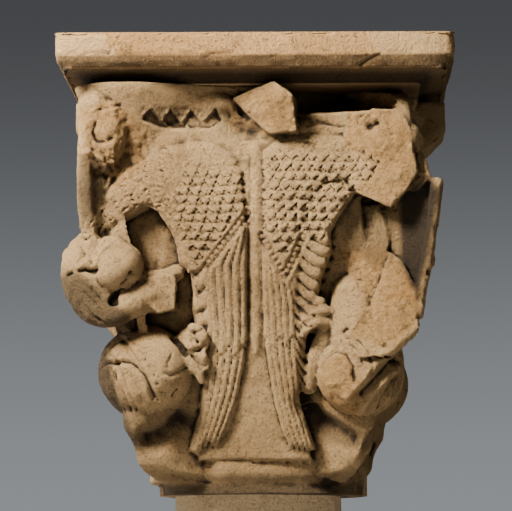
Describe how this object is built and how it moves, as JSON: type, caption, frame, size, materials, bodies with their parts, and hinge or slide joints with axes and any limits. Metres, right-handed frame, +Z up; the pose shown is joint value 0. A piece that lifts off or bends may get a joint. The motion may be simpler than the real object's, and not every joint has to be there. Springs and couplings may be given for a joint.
{
  "type": "historiated capital",
  "caption": "Worn Romanesque stone capital carved with paired birds and corner beasts, under a moulded impost slab and on the cut head of its round shaft.",
  "frame": {"origin": "centre of the shaft's cut underside, the lowest point", "axes": "+Z up the column's axis, -Y towards the carved front face shown in the picture"},
  "size_m": [0.36, 0.36, 0.5086],
  "materials": {
    "abacus_stone": "worn limestone slab with pale plaster repairs at its corners",
    "capital_stone": "weathered and chipped carved limestone, warm beige",
    "shaft_stone": "smooth dressed limestone"
  },
  "bodies": {
    "root": {"abacus": "abacus_stone", "capital": "capital_stone", "column_shaft": "shaft_stone"}
  },
  "joints": []
}
